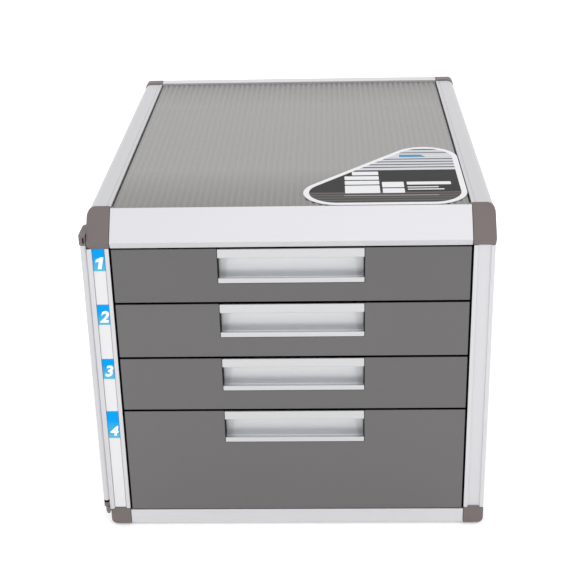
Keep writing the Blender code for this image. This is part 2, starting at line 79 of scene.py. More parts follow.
class Slot(Enum):
    """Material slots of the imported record."""

    ALUMINIUM = "light_aluminium"
    PANEL = "panel_metal"
    PLASTIC = "warm_plastic"
    PAINT = "dark_paint"
    SHEET = "steel_sheet"
    BLACK = "black_plastic"
    RUBBER = "rubber"
    INDEX = "blue_label"
    STICKER = "dark_label"


class Run(Enum):
    """The way that a metal's drawing lines run."""

    X = (0.03, 1.0, 1.0)
    Y = (1.0, 0.03, 1.0)
    Z = (1.0, 1.0, 0.03)


# ---------------------------------------------------------------- shader groups


class Bench:
    """Lays and links nodes in one tree."""

    def __init__(self, tree: bpy.types.NodeTree) -> None:
        """Keep the tree that the nodes go in."""
        self.tree = tree

    def feed(self, target: Socket, value: object) -> None:
        """Link an input to a socket, or set it to a constant.

        Args:
            target: the input.
            value: the socket or the constant.
        """
        if isinstance(value, Socket):
            self.tree.links.new(value, target)
        else:
            target.default_value = value

    def fill(self, node: Node, **inputs: object) -> None:
        """Link or set several inputs of a node.

        Args:
            node: the node.
            **inputs: what they get, by name with underscores for spaces.
        """
        for name, value in inputs.items():
            self.feed(node.inputs[name.replace("_", " ")], value)

    def add(self, kind: str, **inputs: object) -> Node:
        """Add a node and fill its inputs.

        Args:
            kind: the node's type, without its ShaderNode prefix.
            **inputs: what its inputs get.

        Returns:
            The new node.
        """
        node = self.tree.nodes.new("ShaderNode" + kind)
        self.fill(node, **inputs)
        return node

    def group(self, tree: bpy.types.NodeTree, **inputs: object) -> Node:
        """Add a node that stands for a group.

        Args:
            tree: the group.
            **inputs: what its inputs get.

        Returns:
            The new node.
        """
        node = self.add("Group")
        node.node_tree = tree
        self.fill(node, **inputs)
        return node

    def calc(self, operation: str, *values: object) -> Socket:
        """Work out a number with a Math node.

        Args:
            operation: the node's operation.
            *values: sockets or numbers, in the order of its inputs.

        Returns:
            The result's socket.
        """
        node = self.add("Math")
        node.operation = operation
        for target, value in zip(node.inputs, values):
            self.feed(target, value)
        return node.outputs[0]

    def where(self) -> Socket:
        """The Object coordinates."""
        return self.add("TexCoord").outputs["Object"]

    def axis(self, name: str) -> Socket:
        """The X, Y or Z of the Object coordinates."""
        return self.add("SeparateXYZ", Vector=self.where()).outputs[name]

    def spread(self, value: Socket, low: float, high: float) -> Socket:
        """Map a value from 0..1 to the range from low to high, without leaving it."""
        return self.add("MapRange", Value=value, To_Min=low, To_Max=high).outputs["Result"]

    def ramp(self, value: Socket, stops: Iterable[tuple[float, Colour]]) -> Socket:
        """Turn a value into a colour from a ramp.

        Args:
            value: the value, from 0 to 1.
            stops: places on the ramp and their colours.

        Returns:
            The colour's socket.
        """
        node = self.add("ValToRGB", Fac=value)
        elements = node.color_ramp.elements
        for index, (position, colour) in enumerate(stops):
            stop = elements[index] if index < 2 else elements.new(position)
            stop.position = position
            stop.color = (*colour, 1.0)
        return node.outputs["Color"]

    def mix(self, factor: Socket, first: object, second: object) -> Socket:
        """Mix two colours.

        Args:
            factor: the share of the second colour.
            first: a colour or a socket.
            second: a colour or a socket.

        Returns:
            The mixed colour's socket.
        """
        node = self.add("Mix")
        node.data_type = "RGBA"
        self.feed(node.inputs["Factor"], factor)
        for target, value in zip((node.inputs[6], node.inputs[7]), (first, second)):
            self.feed(target, (*value, 1.0) if isinstance(value, tuple) else value)
        return node.outputs[2]


def new_group(
    name: str, inputs: dict[str, float], outputs: Sequence[str]
) -> tuple[Bench, bpy.types.NodeOutputs, Node]:
    """Start a shader group with a Vector input, float inputs and float outputs.

    Args:
        name: the group's name.
        inputs: the float inputs and their defaults.
        outputs: the outputs' names.

    Returns:
        A bench on the group's tree, what comes in, and the node that goes out.
    """
    tree = bpy.data.node_groups.new(name, "ShaderNodeTree")
    tree.interface.new_socket("Vector", in_out="INPUT", socket_type="NodeSocketVector")
    for key, value in inputs.items():
        socket = tree.interface.new_socket(key, in_out="INPUT", socket_type="NodeSocketFloat")
        socket.default_value = value
    for key in outputs:
        tree.interface.new_socket(key, in_out="OUTPUT", socket_type="NodeSocketFloat")
    start = tree.nodes.new("NodeGroupInput")
    return Bench(tree), start.outputs, tree.nodes.new("NodeGroupOutput")


def grain_group() -> bpy.types.NodeTree:
    """Fine surface grain over slow unevenness, shared by paint, plastic and rubber.

    Returns:
        The group, made on first use.
    """
    name = "surface_grain"
    if name in bpy.data.node_groups:
        return bpy.data.node_groups[name]
    bench, given, end = new_group(name, {"Grain": 900.0, "Drift": 9.0}, ("Height", "Mottle"))
    where = given["Vector"]
    fine = bench.add("TexNoise", Vector=where, Scale=given["Grain"], Detail=3.0, Roughness=0.6)
    slow = bench.add("TexNoise", Vector=where, Scale=given["Drift"], Detail=4.0, Roughness=0.55)
    drift = slow.outputs["Fac"]
    height = bench.calc("MULTIPLY_ADD", drift, DRIFT_SHARE, fine.outputs["Fac"])
    bench.fill(end, Height=height, Mottle=drift)
    return bench.tree


def drawn_group() -> bpy.types.NodeTree:
    """Drawing lines of an extrusion, with slow changes of polish, shared by the metals.

    Returns:
        The group, made on first use.
    """
    name = "drawn_lines"
    if name in bpy.data.node_groups:
        return bpy.data.node_groups[name]
    bench, given, end = new_group(name, {"Lines": 1400.0}, ("Line", "Polish"))
    where = given["Vector"]
    lines = bench.add("TexNoise", Vector=where, Scale=given["Lines"], Detail=2.0, Roughness=0.7)
    polish = bench.add("TexNoise", Vector=where, Scale=14.0, Detail=3.0)
    bench.fill(end, Line=lines.outputs["Fac"], Polish=polish.outputs["Fac"])
    return bench.tree


# --------------------------------------------------------------------- finishes


@dataclass(frozen=True)
class Finish:
    """A named finish that makes its material on first use."""

    name: str
    colour: Colour
    roughness: float
    specular: float = field(default=0.5, kw_only=True)

    def material(self) -> bpy.types.Material:
        """Return the finish's material, building its nodes the first time."""
        found = bpy.data.materials.get(self.name)
        if found:
            return found
        made = bpy.data.materials.new(self.name)
        made.use_nodes = True
        bench = Bench(made.node_tree)
        shader = made.node_tree.nodes["Principled BSDF"]
        bench.fill(shader, Specular_IOR_Level=self.specular)
        self.dress(bench, shader)
        return made

    def dress(self, bench: Bench, shader: Node) -> None:
        """Lay the finish's nodes.

        Args:
            bench: the bench on the material's tree.
            shader: its Principled node.
        """
        raise NotImplementedError

    def shade(self, factor: float) -> Colour:
        """The finish's colour, lightened or darkened by a factor."""
        red, green, blue = self.colour
        return (red * factor, green * factor, blue * factor)

    def vary(self, bench: Bench, mask: Socket, share: float) -> Socket:
        """The finish's colour, drifting with a mask by a share either way."""
        return bench.mix(mask, self.shade(1.0 - share), self.shade(1.0 + share))

    def drift(self, bench: Bench, mask: Socket, swing: float) -> Socket:
        """The finish's roughness, drifting with a mask by a swing either way."""
        return bench.spread(mask, self.roughness - swing, self.roughness + swing)


@dataclass(frozen=True)
class Grained(Finish):
    """Paint, moulded plastic or rubber: an even colour under a fine grain."""

    grain: float = 900.0
    depth: float = 0.05
    relief: float = 0.08 * MM
    metallic: float = 0.0
    variation: float = 0.05
    swing: float = 0.06

    def dress(self, bench: Bench, shader: Node) -> None:
        """Lay an even colour, a drifting roughness and a fine bump."""
        group = bench.group(grain_group(), Vector=bench.where(), Grain=self.grain)
        mottle, height = group.outputs["Mottle"], group.outputs["Height"]
        bump = bench.add("Bump", Height=height, Strength=self.depth, Distance=self.relief)
        bench.fill(
            shader,
            Base_Color=self.vary(bench, mottle, self.variation),
            Roughness=self.drift(bench, mottle, self.swing),
            Normal=bump.outputs["Normal"],
            Metallic=self.metallic,
        )


@dataclass(frozen=True)
class Drawn(Finish):
    """Satin anodised aluminium with faint lines along the extrusion."""

    run: Run = Run.X
    metallic: float = 0.5
    depth: float = 0.06
    relief: float = 0.06 * MM
    variation: float = 0.025
    swing: float = 0.06
    streak: float = 0.04

    def dress(self, bench: Bench, shader: Node) -> None:
        """Lay drawn lines in the colour, the roughness and a shallow bump."""
        stretched = bench.add("Mapping", Vector=bench.where(), Scale=self.run.value)
        group = bench.group(drawn_group(), Vector=stretched.outputs["Vector"])
        line = group.outputs["Line"]
        polish = self.drift(bench, group.outputs["Polish"], self.swing)
        streak = bench.spread(line, -self.streak, self.streak)
        bump = bench.add("Bump", Height=line, Strength=self.depth, Distance=self.relief)
        bench.fill(
            shader,
            Base_Color=self.vary(bench, line, self.variation),
            Roughness=bench.calc("ADD", polish, streak),
            Normal=bump.outputs["Normal"],
            Metallic=self.metallic,
        )


@dataclass(frozen=True)
class Pocketed(Drawn):
    """Satin aluminium with painted shade that darkens its pocket towards its floor and its ends.
    """

    middle: float = 0.0
    front: float = 0.0
    top: float = 0.1
    drop: float = 0.016
    half: float = 0.05
    face_share: float = 0.82
    foot: Colour = (0.73, 0.745, 0.775)
    shadow: Colour = (0.02, 0.026, 0.036)
    painted_shade_stops: tuple[Point, ...] = ((0.15, 0.08), (1.0, 0.2), (0.4, 0.16), (0.65, 0.16), (0.85, 0.02))
    end_lean: float = 2.6 * MM
    end_fade: float = 2.4 * MM
    end_painted_shadow: float = 0.13

    def dress(self, bench: Bench, shader: Node) -> None:
        """Lay the drawn metal, then paint shade onto the part of it that lies in the pocket."""
        super().dress(bench, shader)
        # Painted shade: down the pocket the colour turns cooler and is mixed towards the shadow
        # colour by a ramp, with painted shadow in the leaning corners at both ends.
        inside = bench.calc("GREATER_THAN", bench.axis("Y"), self.front)
        below = bench.calc("SUBTRACT", self.top, bench.axis("Z"))
        fall = bench.spread(bench.calc("DIVIDE", below, self.drop), 0.0, 1.0)
        wall = bench.ramp(fall, [(down, (loss, loss, loss)) for down, loss in self.painted_shade_stops])
        depth = bench.calc("ADD", wall, self.ends(bench, fall))
        within = bench.calc("MULTIPLY", inside, depth)
        share = bench.calc("ADD", within, bench.spread(inside, 1.0 - self.face_share, 0.0))
        source = shader.inputs["Base Color"].links[0].from_socket
        painted_cool_foot = bench.mix(bench.calc("MULTIPLY", inside, fall), source, self.foot)
        bench.fill(shader, Base_Color=bench.mix(share, painted_cool_foot, self.shadow))

    def ends(self, bench: Bench, fall: Socket) -> Socket:
        """Work out the painted shadow in the leaning corners at the pocket's ends.

        Args:
            bench: the bench on the material's tree.
            fall: how far down the pocket, from 0 to 1.

        Returns:
            The share of shadow.
        """
        out = bench.calc("ABSOLUTE", bench.calc("SUBTRACT", bench.axis("X"), self.middle))
        leaning = bench.calc("MULTIPLY_ADD", fall, -self.end_lean, out)
        past = bench.calc("DIVIDE", bench.calc("SUBTRACT", leaning, self.half), self.end_fade)
        return bench.calc("MULTIPLY", bench.spread(past, 0.0, 1.0), self.end_painted_shadow)


@dataclass(frozen=True)
class Film(Finish):
    """Printed film, whose roughness drifts."""

    swing: float = field(default=0.08, kw_only=True)

    def dress(self, bench: Bench, shader: Node) -> None:
        """Lay the print under a drifting gloss."""
        mottle = bench.group(grain_group(), Vector=bench.where()).outputs["Mottle"]
        rough = self.drift(bench, mottle, self.swing)
        bench.fill(shader, Base_Color=self.printed(bench), Roughness=rough)

    def printed(self, bench: Bench) -> Socket:
        """Lay the printed colour.

        Args:
            bench: the bench on the material's tree.

        Returns:
            The colour's socket.
        """
        raise NotImplementedError


@dataclass(frozen=True)
class Fading(Film):
    """Printed film whose colour fades from one height to another."""

    foot: Colour = (0.1, 0.6, 0.9)
    top: float = 0.1
    drop: float = 0.018
    start: float = 0.35

    def printed(self, bench: Bench) -> Socket:
        """Lay a downward fade."""
        down = bench.calc("SUBTRACT", self.top, bench.axis("Z"))
        share = bench.calc("DIVIDE", down, self.drop)
        return bench.ramp(share, ((self.start, self.colour), (1.0, self.foot)))


@dataclass(frozen=True)
class Banded(Film):
    """Printed film with a dark field, and light bands that thin lines cross."""

    light: Colour = (0.55, 0.56, 0.6)
    front: float = 0.0
    field_depth: float = 77.0 * MM
    pitch: float = 6.7 * MM
    even_lines: int = 4
    even_width: float = 2.1 * MM
    lone_lines: tuple[Point, ...] = ((119.5 * MM, 1.8 * MM), (127.5 * MM, 2.4 * MM))
    line_gain: float = 2.6
    glow: Point = (0.82, 1.12)
    low_bands: float = 27.0 * MM
    band_gain: float = 7.5
    band_share: Point = (0.25, 0.9)
    wave: float = 5.2 * MM
    wave_start: float = 2.66

    def lines(self) -> tuple[Point, ...]:
        """Lines across the light part: the distance from the front, and the width."""
        steps = range(1, self.even_lines + 1)
        even = tuple((self.field_depth + self.pitch * step, self.even_width) for step in steps)
        return even + self.lone_lines

    def printed(self, bench: Bench) -> Socket:
        """Lay the dark field with its bands, and the light part with its lines."""
        back = bench.calc("SUBTRACT", bench.axis("Y"), self.front)
        crossing: object = 0.0
        for line, width in self.lines():
            away = bench.calc("ABSOLUTE", bench.calc("SUBTRACT", back, line))
            crossing = bench.calc("ADD", crossing, bench.calc("LESS_THAN", away, width / 2))
        step = bench.calc("FRACT", bench.calc("DIVIDE", back, self.pitch))
        glow = bench.spread(step, *self.glow)
        bright = bench.add("MixRGB", Fac=1.0, Color1=(*self.light, 1.0), Color2=glow)
        bright.blend_type = "MULTIPLY"
        lined = bench.mix(crossing, bright.outputs["Color"], self.shade(self.line_gain))
        turn = bench.calc("MULTIPLY_ADD", back, 2.0 * math.pi / self.wave, self.wave_start)
        ripple = bench.spread(bench.calc("SINE", turn), *self.band_share)
        low = bench.calc("LESS_THAN", back, self.low_bands)
        banding = bench.calc("MULTIPLY", low, ripple)
        field_part = bench.mix(banding, self.colour, self.shade(self.band_gain))
        in_field = bench.calc("LESS_THAN", back, self.field_depth)
        return bench.mix(in_field, lined, field_part)


METAL_TINT = (1.0, 0.996, 1.03)
METAL_ROUGHNESS = 0.42


def drawn(name: str, run: Run, shade: float) -> Drawn:
    """A satin aluminium finish with a slightly cool tint.

    Args:
        name: the material's name.
        run: the way that its lines run.
        shade: how light it is.

    Returns:
        The finish.
    """
    red, green, blue = METAL_TINT
    return Drawn(name, (shade * red, shade * green, shade * blue), METAL_ROUGHNESS, run)


FASCIA_METAL = drawn("fascia_aluminium", Run.X, 0.605)
CROSS_METAL = drawn("cross_rail_aluminium", Run.X, 0.6)
SIDE_METAL = drawn("side_rail_aluminium", Run.Y, 0.52)
POST_METAL = drawn("post_aluminium", Run.Z, 0.58)
BAR_METAL = drawn("bar_aluminium", Run.Z, 0.545)
# Handle metal with painted shade in its pocket.
HANDLE_METAL = Pocketed("handle_aluminium", (0.655, 0.655, 0.663), 0.38, Run.X)
PANEL_PAINT = Grained("panel_paint", (0.275, 0.27, 0.262), 0.45, 1200.0, 0.05, metallic=0.1)
BLOCK_PLASTIC = Grained("block_plastic", (0.136, 0.111, 0.109), 0.5, 1500.0, 0.12)
DRAWER_PAINT = Grained("drawer_paint", (0.11, 0.106, 0.106), 0.42, 1100.0, 0.08, metallic=0.05)
# Painted light and shade: each drawer's copy of the paint is darker or lighter, the top drawer
# darker and the lowest lighter, as the light falls on them.
DRAWER_PAINTED_LIGHT = (0.94, 1.02, 1.0, 1.04)
TRAY_PAINT = Grained("tray_paint", (0.055, 0.055, 0.058), 0.48, 1100.0, 0.08, metallic=0.05)
# Own dark paint of the runner frames, made near-black as painted shade for the gaps beside the
# drawers.
LINER_PAINT = Grained("liner_paint", (0.012, 0.012, 0.013), 0.6, 1100.0, 0.08, specular=0.2)
# Painted shade: near-black for the strips and the ring that stand for shade in gaps.
SHADE_BLACK = Grained("painted_shade_black", (0.0015, 0.0015, 0.0015), 0.9, 1500.0, 0.1, specular=0.02)
DARK_PLASTIC = Grained("dark_plastic", (0.008, 0.008, 0.009), 0.6, 1500.0, 0.1, specular=0.15)
FOOT_RUBBER = Grained("foot_rubber", (0.02, 0.02, 0.02), 0.85, 1800.0, 0.2)
SCREW_METAL = Grained("screw_metal", (0.4, 0.4, 0.41), 0.3, 2200.0, 0.05, metallic=0.95)
WHITE_FILM = Grained("white_film", (0.67, 0.67, 0.685), 0.35, 700.0, 0.02)
CHANNEL_FILM = Grained("channel_film", (0.67, 0.665, 0.675), 0.4, 700.0, 0.02)
FAINT_FILM = Grained("faint_film", (0.24, 0.235, 0.24), 0.4, 700.0, 0.02)
INK_BLUE = Grained("ink_blue", (0.012, 0.22, 0.4), 0.35, 700.0, 0.02, specular=0.1)
FLOOR_PAINT = Grained("floor_paint", (0.97, 0.97, 0.97), 0.9, 60.0, 0.0, variation=0.0)
INDEX_FILM = Fading(
    "index_film", (0.0, 0.31, 0.78), 0.35, foot=(0.1, 0.44, 0.62), specular=0.05
)
LABEL_PRINT = Banded("label_print", (0.018, 0.016, 0.016), 0.45, specular=0.08)
DIGIT_FILM = Grained("digit_film", (0.86, 0.88, 0.9), 0.4, 700.0, 0.02)


# ------------------------------------------------------------------- shop tools

SCREW_TAPER = 0.86
SCREW_DOME = 0.35
SOCKET_INSET = 0.38
SOCKET_DEPTH = 0.55


@dataclass(frozen=True)
class Span:
    """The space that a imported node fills."""

    low: Vector
    high: Vector

    @classmethod
    def of(cls, node: str) -> "Span":
        """Read a node's span."""
        low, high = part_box(node)
        return cls(low, high)

    @property
    def middle(self) -> Vector:
        """The middle of the span."""
        return (self.low + self.high) / 2

    @property
    def size(self) -> Vector:
        """The span's size."""
        return self.high - self.low


def merged(node: str) -> BMesh:
    """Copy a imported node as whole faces.

    Args:
        node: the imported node.

    Returns:
        A bmesh with shared corners and flat faces in one piece.
    """
    bm = bmesh.new()
    bm.from_mesh(bpy.data.objects[node].data)
    bmesh.ops.remove_doubles(bm, verts=bm.verts, dist=MERGE)
    flat = math.radians(FLAT)
    bmesh.ops.dissolve_limit(bm, angle_limit=flat, verts=bm.verts, edges=bm.edges)
    return bm


def moved_verts(pushed: dict[str, list]) -> list[BMVert]:
    """The new corners among what an extrusion made."""
    return [item for item in pushed["geom"] if isinstance(item, BMVert)]


def bevel(
    bm: BMesh, edges: Sequence[BMEdge], width: float, segments: int, clamp: bool = False
) -> None:
    """Round some edges.

    Args:
        bm: the mesh to change.
        edges: its edges to round.
        width: the rounding's width.
        segments: steps across it.
        clamp: whether roundings stop where they meet.
    """
    bmesh.ops.bevel(
        bm,
        geom=edges,
        offset=width,
        segments=segments,
        profile=0.5,
        affect="EDGES",
        clamp_overlap=clamp,
        material=-1,
    )


def round_edges(bm: BMesh, width: float, segments: int, over: float = 30.0) -> None:
    """Round the edges that turn more sharply than an angle.

    Args:
        bm: the mesh to change.
        width: the rounding's width.
        segments: steps across it.
        over: the sharpest turn that stays as it is, in degrees.
    """
    limit = math.radians(over)
    edges = [edge for edge in bm.edges if edge.is_manifold and edge.calc_face_angle() > limit]
    bevel(bm, edges, width, segments, clamp=True)


def place(
    name: str,
    bm: BMesh,
    finish: Finish,
    nodes: Iterable[str] = (),
    smooth: float = 35.0,
    body: str = CABINET,
) -> bpy.types.Object:
    """Make a finished mesh a piece that rides on a body.

    Args:
        name: the piece's name.
        bm: its mesh, which is used up.
        finish: its finish.
        nodes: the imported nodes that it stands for.
        smooth: edges that turn less than this, in degrees, are shaded smooth.
        body: the body that it moves with.

    Returns:
        The piece.
    """
    mesh = bpy.data.meshes.new(name)
    bm.to_mesh(mesh)
    bm.free()
    mesh.shade_smooth()
    mesh.set_sharp_from_angle(angle=math.radians(smooth))
    mesh.materials.append(finish.material())
    piece = bpy.data.objects.new(name, mesh)
    bpy.context.scene.collection.objects.link(piece)
    level = piece.modifiers.new("level_faces", "WEIGHTED_NORMAL")
    level.keep_sharp = True
    level.weight = 100
    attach(piece, body)
    if nodes:
        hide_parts(*nodes)
    LOG.info("%s: %d faces on %s", name, len(mesh.polygons), body)
    return piece


def carry(
    node: str, finish: Finish, width: float, segments: int = 3, body: str = CABINET
) -> None:
    """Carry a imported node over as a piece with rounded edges.

    Args:
        node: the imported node.
        finish: its finish.
        width: how wide its edges are rounded.
        segments: steps across the rounding.
        body: its body.
    """
    bm = merged(node)
    round_edges(bm, width, segments)
    place(f"{node}_piece", bm, finish, [node], body=body)


def push(outline: Sequence[Point], axis: str, start: float, end: float) -> BMesh:
    """Push a flat outline along an axis into a closed solid.

    Args:
        outline: corners, as (x, z) for Y and (x, y) for Z.
        axis: the axis to push along, Y or Z.
        start: where it starts.
        end: where it ends.

    Returns:
        The solid.
    """
    upright = axis == "Z"
    bm = bmesh.new()
    face = bm.faces.new(
        [bm.verts.new((u, v, start) if upright else (u, start, v)) for u, v in outline]
    )
    pushed = bmesh.ops.extrude_face_region(bm, geom=[face], use_keep_orig=True)
    way = Vector((0, 0, end - start)) if upright else Vector((0, end - start, 0))
    bmesh.ops.translate(bm, verts=moved_verts(pushed), vec=way)
    bmesh.ops.recalc_face_normals(bm, faces=bm.faces)
    return bm


def arc(centre: Point, radius: float, start: float, end: float, steps: int) -> list[Point]:
    """Points along an arc.

    Args:
        centre: its centre.
        radius: its radius.
        start: its first angle, in degrees.
        end: its last angle, in degrees.
        steps: how many steps it takes.

    Returns:
        The points, both ends included.
    """
    across, up = centre
    turns = [math.radians(start + (end - start) * step / steps) for step in range(steps + 1)]
    return [(across + radius * math.cos(turn), up + radius * math.sin(turn)) for turn in turns]


def block(low: Vector, high: Vector, width: float) -> BMesh:
    """A box with rounded edges between two corners.

    Args:
        low: its lowest corner.
        high: its highest corner.
        width: its edge rounding.

    Returns:
        The solid.
    """
    bm = bmesh.new()
    fit = Matrix.Translation((low + high) / 2) @ Matrix.Diagonal((*(high - low), 1.0))
    bmesh.ops.create_cube(bm, size=1.0, matrix=fit)
    round_edges(bm, width, 2)
    return bm


def crown(bm: BMesh) -> BMFace:
    """The outer round face of a screw head."""
    rounds = [face for face in bm.faces if len(face.verts) > 4]
    return max(rounds, key=lambda face: face.calc_center_median().y)


def screw_head(centre: Vector, radius: float, rise: float) -> BMesh:
    """A domed screw head with a round socket, facing +Y.

    Args:
        centre: the middle of its seat.
        radius: the head's radius.
        rise: how far it stands up.

    Returns:
        The solid.
    """
    bm = bmesh.new()
    turn = Matrix.Rotation(math.radians(-90.0), 4, "X")
    seat = Matrix.Translation(centre) @ turn @ Matrix.Translation((0, 0, rise / 2))
    bmesh.ops.create_cone(
        bm,
        cap_ends=True,
        segments=24,
        radius1=radius,
        radius2=radius * SCREW_TAPER,
        depth=rise,
        matrix=seat,
    )
    bevel(bm, list(crown(bm).edges), rise * SCREW_DOME, 3)
    top = crown(bm)
    bmesh.ops.inset_region(bm, faces=[top], thickness=radius * SOCKET_INSET)
    pushed = bmesh.ops.extrude_face_region(bm, geom=[top])
    down = Vector((0.0, -rise * SOCKET_DEPTH, 0.0))
    bmesh.ops.translate(bm, verts=moved_verts(pushed), vec=down)
    bmesh.ops.delete(bm, geom=[top], context="FACES_KEEP_BOUNDARY")
    bmesh.ops.recalc_face_normals(bm, faces=bm.faces)
    return bm


# --------------------------------------------------------------- sub-assemblies


@dataclass
class OuterFrame:
    """Posts, rails and corner blocks."""

    groove_out: float = 3.0 * MM
    groove_width: float = 0.4 * MM
    groove_depth: float = 0.45 * MM
    side_round: float = 6.5 * MM
    edge: float = 0.35 * MM
    fascia_edge: float = 0.3 * MM
    top_block_edge: float = 0.8 * MM
    low_block_edge: float = 0.5 * MM
    foot_edge: float = 0.25 * MM
    rail_edge: float = 0.15 * MM
    shade_strip_gap: float = 0.1 * MM
    shade_strip_reach: float = 1.4 * MM
    shade_strip_back: float = 0.1 * MM
    film_gap: float = 0.04 * MM
    film_rise: float = 1.3 * MM
    lip_out: float = 0.36 * MM
    lip_rise: float = 1.2 * MM
    lip_inset: float = 0.03 * MM
    lip_edge: float = 0.1 * MM
    lip_flat: float = 0.8 * MM

    def build(self) -> None:
        """Make every piece of the frame."""
        self.build_posts()
        self.build_blocks()
        self.build_cross_rails()
        self.build_side_shade_strips()
        self.build_channel_film()
        self.build_post_lip()
        for side, sign in SIDES:
            self.build_side_rail(side, sign)

    def corners(self) -> list[str]:
        """The four corners' names."""
        return [f"{end}_{side}" for end in ("front", "rear") for side in ("left", "right")]

    def build_posts(self) -> None:
        """Carry over the four posts."""
        for corner in self.corners():
            carry(f"{corner}_post", POST_METAL, self.edge)

    def build_blocks(self) -> None:
        """Carry over the corner blocks and the feet."""
        for corner in self.corners():
            carry(f"{corner}_top_cap", BLOCK_PLASTIC, self.top_block_edge)
            carry(f"{corner}_bottom_cap", BLOCK_PLASTIC, self.low_block_edge)
            carry(f"{corner}_foot", FOOT_RUBBER, self.foot_edge)

    def build_cross_rails(self) -> None:
        """Carry over the fascia, the rear rail and the bottom rails."""
        carry("front_top_rail", FASCIA_METAL, self.fascia_edge)
        carry("rear_top_rail", CROSS_METAL, self.edge)
        for end in ("front", "rear"):
            carry(f"{end}_bottom_rail", CROSS_METAL, self.edge)
        for side in ("left", "right"):
            carry(f"{side}_bottom_rail", SIDE_METAL, self.edge)

    def build_side_shade_strips(self) -> None:
        """Make near-black strips on the posts beside the drawers: painted shade standing for the
        dark gaps there.
        """
        front = Span.of("drawer_1_front")
        for side, sign in SIDES:
            post = Span.of(f"front_{side}_post")
            inner = post.high.x if sign < 0 else post.low.x
            near, far = sorted((inner - sign * self.shade_strip_gap, inner - sign * self.shade_strip_reach))
            low = Vector((near, post.low.y + self.shade_strip_back, post.low.z))
            high = Vector((far, front.high.y, post.high.z))
            bm = block(low, high, self.shade_strip_gap)
            place(f"{side}_side_shade_strip", bm, SHADE_BLACK)

    def build_channel_film(self) -> None:
        """Make the white film below each label in the left post's channel."""
        post = Span.of("front_left_post")
        labels = [Span.of(f"index_label_{number}") for number in range(1, 5)]
        feet = [label.high.z for label in labels[1:]] + [post.low.z + self.film_rise]
        for index, (label, foot) in enumerate(zip(labels, feet)):
            low = Vector((label.low.x, label.low.y + self.film_gap, foot + self.film_gap))
            high = Vector((label.high.x, label.high.y, label.low.z - self.film_gap))
            bm = block(low, high, self.film_gap * 0.5)
            name = f"channel_film_{index + 1}"
            place(name, bm, CHANNEL_FILM)

    def build_post_lip(self) -> None:
        """Make the flat flange on the left post that fills the slot beside the bar."""
        post = Span.of("front_left_post")
        label = Span.of("index_label_1")
        outer = post.low.x - self.lip_out
        inner = label.low.x - self.lip_out
        back = post.low.y - self.lip_inset
        front = post.low.y - self.lip_rise
        outline = [(outer, back), (inner, back), (inner, back - self.lip_edge)]
        outline += [(outer + self.lip_flat, front), (outer, front)]
        bm = push(outline, "Z", post.low.z, post.high.z)
        round_edges(bm, self.lip_out * 0.25, 2)
        place("left_post_lip", bm, POST_METAL)

    def build_side_rail(self, side: str, sign: float) -> None:
        """Make a side rail with its rounded shoulder and the fine groove along its top.

        Args:
            side: left or right.
            sign: -1 on the left, 1 on the right.
        """
        node = f"{side}_top_rail"
        span = Span.of(node)
        inner = span.high.x if sign < 0 else span.low.x
        outer = span.low.x if sign < 0 else span.high.x
        top = span.high.z
        groove = inner + sign * self.groove_out
        outline = [(inner, span.low.z), (inner, top), (groove - sign * self.groove_width, top)]
        outline.append((groove, top - self.groove_depth))
        outline.append((groove + sign * self.groove_width, top))
        centre = (outer - sign * self.side_round, top - self.side_round)
        shoulder = (90.0, 0.0) if sign > 0 else (90.0, 180.0)
        outline += arc(centre, self.side_round, *shoulder, 14)
        outline.append((outer, span.low.z))
        bm = push(outline, "Y", span.low.y, span.high.y)
        round_edges(bm, self.rail_edge, 2, 40.0)
        place(f"{node}_piece", bm, SIDE_METAL, [node])


